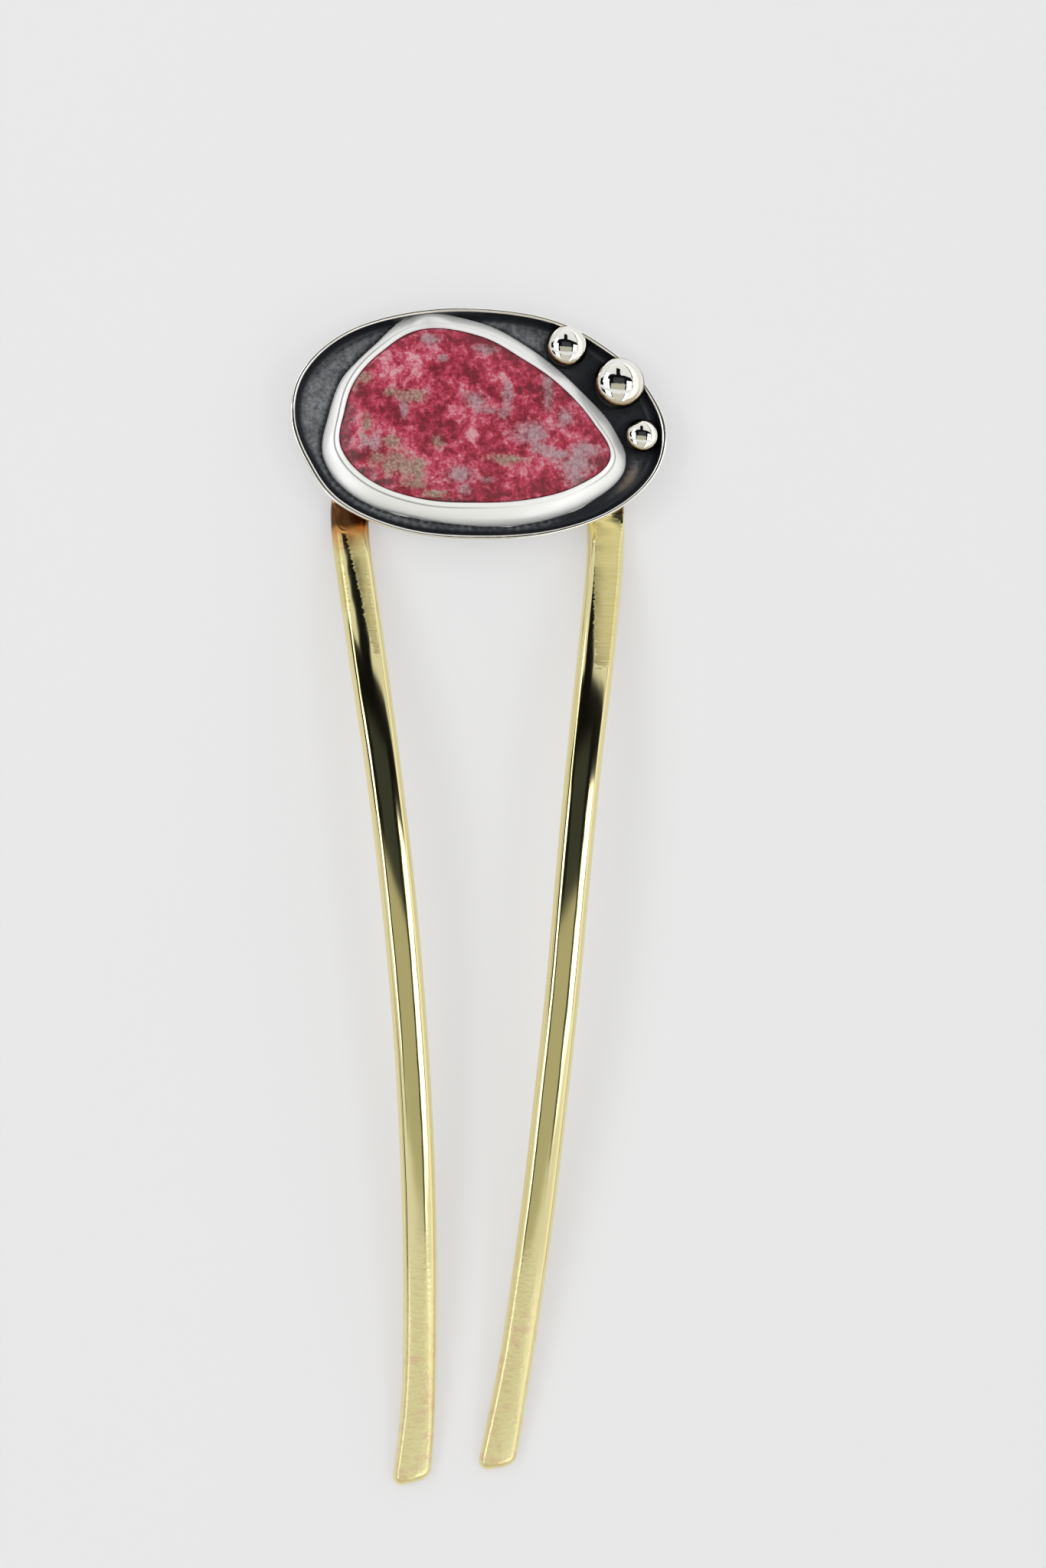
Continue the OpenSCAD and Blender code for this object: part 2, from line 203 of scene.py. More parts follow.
flat_back = spread_out(pan_edge, [0, 0], -outer_run)
pan_rings = [raised(flat_back * share, PAN_Z) for share in (0.3, 0.65, 0.9, 0.97)]
for k in range(SIDE_TURNS + 1):
    turn = math.pi / 2 * k / SIDE_TURNS
    inset = outer_run * (1 - math.sin(turn))
    pan_rings.append(raised(spread_out(pan_edge, [0, 0], -inset), PAN_Z + outer_h * (1 - math.cos(turn))))
for k in range(1, RIM_TURNS):
    turn = math.pi * k / RIM_TURNS
    inset = rim_width * (1 - math.cos(turn)) / 2
    crown_z = RIM_Z - RIM_CROWN * (1 - math.sin(turn))
    pan_rings.append(raised(spread_out(pan_edge, [0, 0], -inset), crown_z))
rim_last = len(pan_rings)
for k in range(SIDE_TURNS + 1):
    turn = side_turn * k / SIDE_TURNS
    run = SIDE_RUN * (1 - np.cos(turn))
    drop = FLOOR_Z + (PAN_DEPTH - RIM_CROWN) * (1 - np.sin(turn))
    pan_rings.append(raised(rim_inside + towards_foot * run[:, None], drop))
side_foot = pan_rings[-1]
FLOOR_RINGS = 16
for k in range(1, FLOOR_RINGS + 1):
    share = k / FLOOR_RINGS
    ring = side_foot[:, :2] * (1 - share) + foot_edge * share
    sink = side_foot[:, 2] * (1 - share) ** 3 + FLOOR_Z * (1 - (1 - share) ** 3)
    wave = floor_wave(ring[:, 0], ring[:, 1]) * math.sin(math.pi * min(1, share * 1.4) / 2)
    pan_rings.append(raised(ring, np.minimum(sink, side_foot[:, 2]) + wave))
for share in (0.9, 0.5):
    pan_rings.append(raised(FOOT_MID + (foot_edge - FOOT_MID) * share, FLOOR_Z - 0.05))
pan = ring_mesh("pan", pan_rings)

# %% [markdown]
# ## The bezel
# A bezel is the band that holds the stone. It is soldered to the pan at its foot and pushed over the
# stone's edge at the top. Here it is thick: a low wall stands up from the pan and rounds over in a broad
# shoulder. The shoulder slopes gently all round, so it shines white and never mirrors the dark pan.
# The solder fills the foot of the wall with a small hollow.

# %% Rings of the bezel
FILLET, WALL_ROUND, LEAST_WALL = 0.15, 0.12, 0.15
SHOULDER_SWELL, SHOULDER_RINGS = 0.5, 56
foot_z = side_foot[:, 2]
shoulder_w = np.linalg.norm(foot_edge - stone_edge, axis=1)
wall_z = np.maximum(foot_z + LEAST_WALL, LIP_Z - math.tan(math.radians(SHOULDER_SLOPE)) * shoulder_w)
GROOVE_FROM_STONE, GROOVE_HALF, GROOVE_DEPTH = 0.65, 0.08, 0.08
groove_shown = 0.15 + 0.85 * np.clip(1.3 * np.cos(bearings - math.radians(200)), 0, 1)
groove_shown += 0.85 * np.clip(6 * np.cos(bearings - math.radians(345)) - 5.2, 0, 1)


def groove(share):
    """How deep the burnisher's groove is at a share of the shoulder, from 0 to 1."""
    away = (1 - share) * shoulder_w - GROOVE_FROM_STONE
    return groove_shown * np.exp(-((away / GROOVE_HALF) ** 2))


def shoulder_ring(share):
    """One ring of the shoulder, share 0 at the wall and 1 at the stone."""
    swell = share * (1 + SHOULDER_SWELL * (1 - share))
    z = wall_z + (LIP_Z - wall_z) * swell - GROOVE_DEPTH * groove(share)
    return raised(foot_edge * (1 - share) + stone_edge * share, z)


bezel_rings = []
for k in range(6):
    turn = math.pi / 2 * k / 5
    ring = spread_out(foot_edge, FOOT_MID, FILLET * (1 - math.sin(turn)))
    bezel_rings.append(raised(ring, foot_z - 0.03 + FILLET * 0.6 * (1 - math.cos(turn))))
for k in range(5):
    turn = math.pi / 3 * k / 4
    ring = spread_out(foot_edge, FOOT_MID, -WALL_ROUND * (1 - math.cos(turn)))
    ring_z = np.maximum(foot_z + 0.05, wall_z - WALL_ROUND * (1 - math.sin(turn)))
    bezel_rings.append(raised(ring, ring_z))
# A number on each point of the shoulder says how much painted shade darkens the groove.
groove_shade = [0.0] * (len(bezel_rings) * ROUND)
for share in np.linspace(0.07, 0.97, SHOULDER_RINGS):
    bezel_rings.append(shoulder_ring(share))
    groove_shade += list(groove(share))
for k in range(1, 9):
    turn = math.pi * k / 8
    inset = 0.06 - 0.10 * math.sin(turn)
    drop = 0.02 + 0.12 * (1 - math.cos(turn))
    bezel_rings.append(raised(spread_out(stone_edge, STONE_MID, inset), LIP_Z - drop))
bezel_rings.append(raised(spread_out(stone_edge, STONE_MID, 0.35), LIP_Z - 0.4))
bezel_rings.append(raised(spread_out(stone_edge, STONE_MID, 0.45), FLOOR_Z + 0.3))
bezel = ring_mesh("bezel", bezel_rings, close_first=False, close_last=False)
paint(bezel, "groove_shade", groove_shade + [0.0] * (len(bezel_rings) * ROUND - len(groove_shade)))

# %% [markdown]
# ## The balls
# Scraps of silver draw up into balls when they are melted on charcoal, and settle a little under their
# own weight. Each is soldered in the channel, with a thin collar of solder at its foot. The balls are
# turned rings like the rest, with a slight unevenness, so none of them is a perfect sphere.

# %% Three melted balls
BALL_SETTLE, BALL_SINK, BALL_ROUND = 0.65, 0.15, 96
LAST_TURN = 150  # degrees from the top of a ball to its collar
BROWN_FROM, BROWN_OVER, LOW_SIDE = math.radians(51), math.radians(20), math.radians(250)
BALLS = {
    "ball_large": (6.6, 0.734, 0.396),
    "ball_middle": (5.4, 0.452, 0.700),
    "ball_small": (4.4, 0.868, -0.039),
}
ball_places = []


def melted_ball(name, diameter, x_share, y_share):
    """A settled ball with its solder collar, seen as rings from the top down."""
    x, y = x_share * PAN_LEN / 2, y_share * PAN_WID / 2
    r = diameter / 2
    height = r * BALL_SETTLE
    middle_z = FLOOR_Z - BALL_SINK + height
    round_turns = np.linspace(0, 2 * np.pi, BALL_ROUND, endpoint=False)
    uneven = 1 - 0.006 + 0.006 * np.sin(2 * round_turns + r)
    rings, tarnish_and_shade = [], []

    def circle(wide, z):
        """One ring round the ball, turned at a height."""
        return raised(np.column_stack([x + wide * np.cos(round_turns), y + wide * np.sin(round_turns)]), z)

    for turn in np.radians(np.linspace(2, LAST_TURN, 60)):
        rings.append(circle(r * math.sin(turn) * uneven, middle_z + height * math.cos(turn)))
        # The low side is darker towards LOW_SIDE, the lower left: painted shade and the painted reflection of
        # the dark pan.
        shade_side = 0.35 * (np.cos(round_turns - LOW_SIDE) - 1) + 0.04 * np.sin(5 * round_turns)
        tarnish_and_shade += list(np.clip((turn - BROWN_FROM) / BROWN_OVER + shade_side, 0, 1))
    neck = r * math.sin(math.radians(LAST_TURN))
    neck_z = rings[-1][0, 2]
    for k in range(1, 7):
        turn = math.pi / 2 * k / 6
        wide = neck + 0.35 * (1 - math.cos(turn))
        rings.append(circle(wide, neck_z + (FLOOR_Z - 0.02 - neck_z) * math.sin(turn)))
        # The solder collar is painted black: solder, and painted shade where the ball meets the pan.
        tarnish_and_shade += [1.0] * BALL_ROUND
    ball_places.append((x, y, r))
    ball = ring_mesh(name, rings, close_last=False)
    paint(ball, "tarnish_and_shade", tarnish_and_shade + [0.0])
    return ball


balls = [melted_ball(name, *sizes) for name, sizes in BALLS.items()]

# %% [markdown]
# ## The stone
# The cabochon is ground to a low dome and held by its edge. It follows the hollow of the bezel with a
# hair's breadth of clearance, which shows as a fine dark line where the lip doesn't quite touch.

# %% Rings of the cabochon
girdle_z = LIP_Z - LIP_T / 2
crest_z = LIP_Z + DOME_H
inner_edge = spread_out(stone_edge, STONE_MID, -0.15)
stone_rings = [
    raised(spread_out(stone_edge, STONE_MID, 0.2), FLOOR_Z + 0.2),
    raised(spread_out(stone_edge, STONE_MID, 0.2), LIP_Z - 0.6),
    raised(inner_edge, LIP_Z - LIP_T - 0.12),
]
for turn in np.linspace(0, math.pi / 2, 90)[:-1]:
    share = math.cos(turn)
    dome = STONE_MID + (inner_edge - STONE_MID) * share
    stone_rings.append(raised(dome, girdle_z + (crest_z - girdle_z) * math.sin(turn)))
cabochon = ring_mesh("cabochon_dome", stone_rings)

# %% [markdown]
# ## The fork
# The fork is one length of flat brass stock. Its middle was hammered thinner and bent to a half ring,
# the yoke, and its two ends run down as prongs that draw together, bow slightly to one side, and arch so
# that they lie round the head. The bar is swept as sections along that path. The front of each prong is
# crowned by the file, nearly flat at the pan and fuller further down.

# %% Path and sections of the fork
PRONG_LEN, TIP_STAGGER, PRONG_W, PRONG_T, PRONG_CROWN = 122.7, 1.9, 4.75, 2.4, 0.55
SPREAD, TIP_SPREAD, SWAY, ARCH_H, PRONG_INSET, SHOULDER_LEN = 33, 10.7, 2, 8, 3.6, 3.5
TIP_ROUND, TIP_SLANT, SLANT_RUN, TIP_THINNING = 1.5, 0.3, 6, 0.6
YOKE_ROUND, PRONG_ROUND = 0.3, 0.9
PRONG_RINGS, TIP_RINGS, YOKE_RINGS = 180, 8, 62
PRONG_TABLE = np.array([
    # along, spread, sway, arch, width, thickness, crown
    [0.00, 1.000, 0.20, 0.00, 1.00, 1.00, 0.30],
    [0.03, 0.988, 0.22, 0.12, 1.00, 1.00, 0.30],
    [0.06, 0.954, 0.25, 0.29, 1.00, 1.00, 0.35],
    [0.16, 0.814, 0.33, 0.69, 1.00, 1.00, 0.55],
    [0.27, 0.656, 0.47, 0.93, 0.95, 1.00, 0.80],
    [0.38, 0.521, 0.68, 1.00, 0.93, 0.98, 0.95],
    [0.50, 0.397, 0.89, 0.94, 0.91, 0.96, 1.00],
    [0.62, 0.282, 0.99, 0.75, 0.91, 0.94, 1.00],
    [0.74, 0.182, 0.96, 0.51, 0.90, 0.92, 0.95],
    [0.87, 0.080, 0.70, 0.23, 0.88, 0.88, 0.70],
    [0.94, 0.029, 0.40, 0.10, 0.92, 0.82, 0.50],
    [1.00, 0.000, 0.00, 0.00, 1.02, 0.72, 0.40],
])
prong_y = PRONG_INSET - PAN_WID / 2


def table_at(t):
    """All columns of the prong's table at a share of its length."""
    rows = PRONG_TABLE
    i = min(int(np.searchsorted(rows[:, 0], t, side="right")) - 1, len(rows) - 2)
    step = rows[i + 1, 0] - rows[i, 0]

    def rise(k):
        if k == 0:
            return np.zeros(rows.shape[1])
        after = min(k + 1, len(rows) - 1)
        return (rows[after] - rows[k - 1]) / (rows[after, 0] - rows[k - 1, 0])
    u = (t - rows[i, 0]) / step
    return smooth_step_between(rows[i], rows[i + 1], rise(i) * step, rise(i + 1) * step, u)


def prong_station(side, t):
    """Back middle point, half width, thickness, corner share, crown and slant of a prong at t."""
    _, spread, sway, arch, width, thick, crown = table_at(t)
    span = PRONG_LEN - (TIP_STAGGER if side > 0 else 0)
    from_end = span * (1 - t)
    cut = TIP_ROUND - math.sqrt(TIP_ROUND ** 2 - max(0, TIP_ROUND - from_end) ** 2)
    u = min(1, t * span / SHOULDER_LEN)
    formed = u * u * (3 - 2 * u)
    x = side * (TIP_SPREAD + (SPREAD - TIP_SPREAD) * spread) / 2 + SWAY * sway
    full = YOKE_T + (PRONG_T * thick - YOKE_T) * formed - TIP_THINNING * cut
    crown = PRONG_CROWN * crown * formed
    corner = YOKE_ROUND + (PRONG_ROUND - YOKE_ROUND) * formed
    point = np.array([x, prong_y - span * t, ARCH_H * arch])
    slant = TIP_SLANT * max(0, 1 - from_end / SLANT_RUN)
    return point, PRONG_W * width / 2 - cut, full - crown, corner, crown, slant, t * span, side


def yoke_station(a):
    """The same for a point of the yoke, a from 0 on the right to pi on the left."""
    x = SWAY * PRONG_TABLE[0, 2] + SPREAD / 2 * math.cos(a)
    point = np.array([x, prong_y + SPREAD / 2 * math.sin(a), 0.0])
    return point, PRONG_W / 2, YOKE_T, YOKE_ROUND, 0.0, 0.0, -SPREAD / 2 * min(a, math.pi - a), 0


def prong_steps():
    """Shares of a prong's length for its sections, close together where the tip is rounded."""
    tip = TIP_ROUND / PRONG_LEN
    ends = [1 - tip * (1 - math.sin(math.pi / 2 * k / TIP_RINGS)) for k in range(TIP_RINGS + 1)]
    return list(np.linspace(0, 1 - tip, PRONG_RINGS)[:-1]) + ends


stations = [prong_station(-1, t) for t in reversed(prong_steps())]
stations += [yoke_station(a) for a in np.linspace(math.pi, 0, YOKE_RINGS)[1:-1]]
stations += [prong_station(1, t) for t in prong_steps()]
print(len(stations), "sections")

# %% Sweep the bar
CORNER_TURNS, FRONT_STEPS, BACK_STEPS = 10, 12, 4


def straight(start, end, steps, height):
    """The points between the ends of a flat side of the section."""
    return [(start + (end - start) * k / steps, height) for k in range(1, steps)]


path = np.array([s[0] for s in stations])
bar_rings, along_bar, across_bar, side_bar = [], [], [], []
for i, (point, half, thick, corner, crown, slant, along, side) in enumerate(stations):
    way = path[min(i + 1, len(path) - 1)] - path[max(i - 1, 0)]
    across = np.array([way[1], -way[0], 0]) / math.hypot(way[0], way[1])
    r = corner * thick / 2
    outline = []
    corners = ((half - r, r), (half - r, thick - r), (r - half, thick - r), (r - half, r))
    for quarter, (cx, cz) in enumerate(corners):
        for k in range(CORNER_TURNS + 1):
            a = math.pi / 2 * (quarter - 1 + k / CORNER_TURNS)
            outline.append((cx + r * math.cos(a), cz + r * math.sin(a)))
        if quarter == 1:
            outline += straight(outline[-1][0], r - half, FRONT_STEPS, thick)
        if quarter == 3:
            outline += straight(outline[-1][0], half - r, BACK_STEPS, 0.0)
    ring = []
    for u, v in outline:
        rise = crown * (1 - u * u / (half * half)) if v > thick / 2 else 0
        ring.append(point + across * u + np.array([0, slant * across[0] * u, v + rise]))
        along_bar.append(along)
        across_bar.append(u / half)
        side_bar.append(side)
    bar_rings.append(ring)
fork = ring_mesh("brass_fork", bar_rings)
paint(fork, "along", [*along_bar, along_bar[0], along_bar[-1]])
paint(fork, "side", side_bar + [-1, 1])

# %% [markdown]
# ## Where the fork was brushed
# Near the pan the smith rubbed the front of each prong with a fine abrasive and left a tapering patch of
# tan brush marks between polished edges. The patch is painted as the distance in from its border, so the
# material can make that border ragged.

# %% Paint the brushed patches
BRUSHED_LEN, BRUSHED_EDGE_LEN = 19.3, 13
FADE = 0.3  # how fast a patch narrows towards its lower end
along_bar, side_bar = np.array(along_bar), np.array(side_bar)
rightward = -side_bar * np.array(across_bar)
on_left = side_bar < 0
left_border = np.where(on_left, -0.40 + 0.75 * along_bar / BRUSHED_LEN,
                       -0.62 + 0.05 * np.maximum(0, along_bar - 8))
right_border = np.where(on_left, 0.62, 0.80)
patch = np.minimum(np.minimum(rightward - left_border, right_border - rightward) * PRONG_W / 2,
                   FADE * (BRUSHED_LEN - along_bar))
edge = np.minimum((-0.62 - rightward) * PRONG_W / 2, FADE * (BRUSHED_EDGE_LEN - along_bar))
patch = np.where(on_left, np.maximum(patch, edge), patch)
patch = np.where(side_bar == 0, -1, np.maximum(patch, -1))
paint(fork, "brushed", [*patch, -1, -1])
print("brushed patches end", BRUSHED_LEN, "mm from the pan")

# %% [markdown]
# ## Painting helpers
# A material in Blender is a small graph of nodes. These helpers add a node and wire it in one line, so
# the cells that follow can say what a finish is made of instead of how the graph is wired.


# %% Helpers for materials
def put(tree, kind, inputs=None, **settings):
    """Adds a node. Inputs are values, or other nodes' outputs to be wired in."""
    new = tree.nodes.new("ShaderNode" + kind)
    for key, value in settings.items():
        setattr(new, key, value)
    for key, value in (inputs or {}).items():
        if isinstance(value, bpy.types.NodeSocket):
            tree.links.new(value, new.inputs[key])
        else:
            new.inputs[key].default_value = value
    return new


def maths(tree, operation, a, b=0.0):
    """One step of arithmetic on two numbers, or on one."""
    return put(tree, "Math", {0: a, 1: b}, operation=operation).outputs[0]


def between(tree, value, start, end, low=0.0, high=1.0):
    """Runs smoothly from low to high while the value goes from start to end."""
    inputs = {"Value": value, "From Min": start, "From Max": end, "To Min": low, "To Max": high}
    return put(tree, "MapRange", inputs, interpolation_type="SMOOTHSTEP").outputs["Result"]


def mixed(tree, share, first, second):
    """A colour between the first and the second."""
    new = put(tree, "Mix", data_type="RGBA", blend_type="MIX")
    for key, value in ((0, share), (6, first), (7, second)):
        if isinstance(value, bpy.types.NodeSocket):
            tree.links.new(value, new.inputs[key])
        else:
            new.inputs[key].default_value = (*value, 1) if isinstance(value, tuple) else value
    return new.outputs[2]


def millimetres(tree, stretch=(1, 1, 1)):
    """The place on the piece in millimetres, stretched where a grain needs it."""
    place = put(tree, "TexCoord").outputs["Object"]
    scale = tuple(1000 * s for s in stretch)
    return put(tree, "Mapping", {"Vector": place, "Scale": scale}).outputs[0]


def noise(tree, place, size, detail=4.0, roughness=0.55):
    """Cloudy noise with clouds of about that size in millimetres."""
    inputs = {"Vector": place, "Scale": 1 / size, "Detail": detail, "Roughness": roughness}
    return put(tree, "TexNoise", inputs).outputs["Fac"]


def painted(tree, name):
    """A number that was painted on the mesh."""
    return put(tree, "Attribute", attribute_name=name).outputs["Fac"]


def new_finish(name, **constants):
    """A fresh material and its shader. The constants go straight on the shader's own sockets."""
    finish = bpy.data.materials.new(name)
    finish.use_nodes = True
    shader = finish.node_tree.nodes["Principled BSDF"]
    for key, value in constants.items():
        shader.inputs[key.replace("_", " ")].default_value = value
    print("finish:", name)
    return finish, finish.node_tree, shader


def bumpy(tree, shader, height, distance):
    """Fine relief in the shading, with its depth in millimetres."""
    bump = put(tree, "Bump", {"Height": height, "Strength": 1.0, "Distance": distance * MM})
    tree.links.new(bump.outputs[0], shader.inputs["Normal"])


# %% [markdown]
# ## Polished silver
# Hand polished silver is a mirror with a life: fine scratches from the last cloth, and soft dents that
# bend the reflections. The colour is nearly white and a little warm. The roughness changes slowly over
# the surface, and two scales of bump break up the mirror.

# %% Polished silver
silver, tree, shader = new_finish("polished_silver", Metallic=1.0)
place = millimetres(tree)
warmth = noise(tree, place, 6.0)
tree.links.new(mixed(tree, warmth, (0.93, 0.92, 0.89), (0.96, 0.955, 0.94)), shader.inputs["Base Color"])
cloth = noise(tree, millimetres(tree, (1, 6, 1)), 0.5, 5.0)
tree.links.new(between(tree, cloth, 0.35, 0.75, 0.06, 0.16), shader.inputs["Roughness"])
dents = maths(tree, "ADD", maths(tree, "MULTIPLY", noise(tree, place, 2.2, 1.0), 0.9),
              maths(tree, "MULTIPLY", noise(tree, place, 0.25, 2.0), 0.03))
bumpy(tree, shader, dents, 0.05)

# %% [markdown]
# ## Silver of the balls
# The balls were polished after the pan had been darkened, so their tops are mirrors. Low on their sides
# a brown line and then black are painted: partly tarnish where no cloth reaches, partly painted shade
# and the painted reflection of the dark pan, darkest on the lower left. The number painted on each ball
# says how low a point lies and how near it is to that shaded side.

# %% Silver of the balls
ball_silver, tree, shader = new_finish("ball_silver", Metallic=1.0)
place = millimetres(tree)
# low reads the number painted on each ball: tarnish, and painted shade and reflection low on its side.
low = maths(tree, "ADD", painted(tree, "tarnish_and_shade"),
            maths(tree, "MULTIPLY", maths(tree, "SUBTRACT", noise(tree, place, 0.5, 4.0), 0.5), 0.35))
colour = mixed(tree, between(tree, low, 0.18, 0.45), (0.95, 0.94, 0.905), (0.52, 0.35, 0.15))
tree.links.new(mixed(tree, between(tree, low, 0.35, 0.75), colour, (0.012, 0.011, 0.012)),
               shader.inputs["Base Color"])
tree.links.new(between(tree, low, 0.1, 0.9, 0.05, 0.35), shader.inputs["Roughness"])
bumpy(tree, shader, noise(tree, place, 0.9, 2.0), 0.012)

# %% [markdown]
# ## Satin silver
# The bezel was burnished over the stone and then rubbed with a fine cloth. It has a soft white sheen
# that shows light and shade, but no clear picture of the room. The groove that the burnisher left beside
# the stone is darkened with painted shade.

# %% Satin silver
satin_silver, tree, shader = new_finish("satin_silver", Metallic=0.45)
place = millimetres(tree)
rubbed = mixed(tree, noise(tree, place, 5.0), (0.925, 0.93, 0.925), (0.955, 0.965, 0.97))
# Painted shade darkens the burnisher's groove beside the stone.
painted_groove_shade = maths(tree, "MULTIPLY", painted(tree, "groove_shade"), 0.75)
tree.links.new(mixed(tree, painted_groove_shade, rubbed, (0.16, 0.15, 0.16)), shader.inputs["Base Color"])
tree.links.new(between(tree, noise(tree, place, 1.5, 4.0), 0.3, 0.7, 0.30, 0.37), shader.inputs["Roughness"])
bumpy(tree, shader, noise(tree, place, 0.3, 3.0), 0.012)

# %% [markdown]
# ## Darkened silver
# The floor of the pan was blackened with liver of sulphur and then rubbed, so the open parts of the
# channel wore back to a matte blue grey. The corners at the bezel, the side and the balls are black: patina
# that the cloth missed, and painted shade where the parts meet. A number painted on each point of the floor
# says how far it is from the nearest corner, and the material lightens the black by that number.

# %% Paint how open each point of the channel is
points = np.array([v.co for v in pan.data.vertices]) / MM
flat = points[:, :2] - pan_middle


def distance_to_outline(outline, spots):
    """How far each spot is from the nearest of every fourth point of the outline."""
    return np.min(np.linalg.norm(spots[:, None, :] - outline[None, ::4, :], axis=2), axis=1)


# The floor darkens near the bezel's foot, the rim and the balls: patina, and painted shade where the parts
# meet.
openness = np.minimum(distance_to_outline(foot_edge, flat), distance_to_outline(rim_inside, flat) - 0.6)
for x, y, r in ball_places:
    openness = np.minimum(openness, np.linalg.norm(flat - [x, y], axis=1) - r * 0.8)
round_balls = np.clip((flat[:, 0] - 8.5) / 4, 0, 1)
low_right = np.exp(-((flat[:, 0] - 19.5) ** 2 + (flat[:, 1] + 6.5) ** 2) / 2.5 ** 2)
openness *= 1 - 0.84 * round_balls * (1 - 0.8 * low_right)  # painted shade and patina between the balls
paint(pan, "open_floor", np.clip(openness, 0, 4))
paint(pan, "brown_floor", low_right)
print("widest open channel", round(float(openness.max()), 2), "mm")

# %% Darkened silver
darkened, tree, shader = new_finish("darkened_silver", Metallic=0.75)
place = millimetres(tree)
# Grey where the floor is open, black near the corners: worn patina, and painted shade in the corners.
worn_and_lit = between(tree, painted(tree, "open_floor"), 0.1, 0.95)
cloudy = between(tree, noise(tree, place, 2.6, 3.0), 0.32, 0.68)
grain = between(tree, noise(tree, place, 0.6, 6.0, 0.8), 0.3, 0.72)
worn_and_lit = maths(tree, "MULTIPLY", worn_and_lit, maths(tree, "ADD", maths(tree, "MULTIPLY", cloudy, 0.55), 0.45))
grey = mixed(tree, grain, (0.11, 0.12, 0.135), (0.46, 0.48, 0.50))
grey = mixed(tree, painted(tree, "brown_floor"), grey, (0.26, 0.20, 0.16))
tree.links.new(mixed(tree, worn_and_lit, (0.032, 0.035, 0.043), grey), shader.inputs["Base Color"])
rub = maths(tree, "ADD", maths(tree, "MULTIPLY", worn_and_lit, 0.26), maths(tree, "MULTIPLY", grain, 0.1))
tree.links.new(maths(tree, "ADD", rub, 0.15), shader.inputs["Roughness"])
bumpy(tree, shader, maths(tree, "ADD", grain, noise(tree, place, 1.5, 2.0)), 0.02)

pan.data.materials.append(silver)
pan.data.materials.append(darkened)
rows = np.arange(len(pan.data.polygons)) // ROUND
pan.data.polygons.foreach_set("material_index", (rows >= rim_last).astype(np.int32))
bezel.data.materials.append(satin_silver)
for ball in balls:
    ball.data.materials.append(ball_silver)

# %% [markdown]
# ## The stone's colours
# The stone is a rose pink mineral with crimson depths, lilac grey clouds, olive specks and a dark
# speckled edge. Random noise alone would put the clouds anywhere, so a short list names the main ones
# with their place and reach, and noise in the material breaks up their borders.

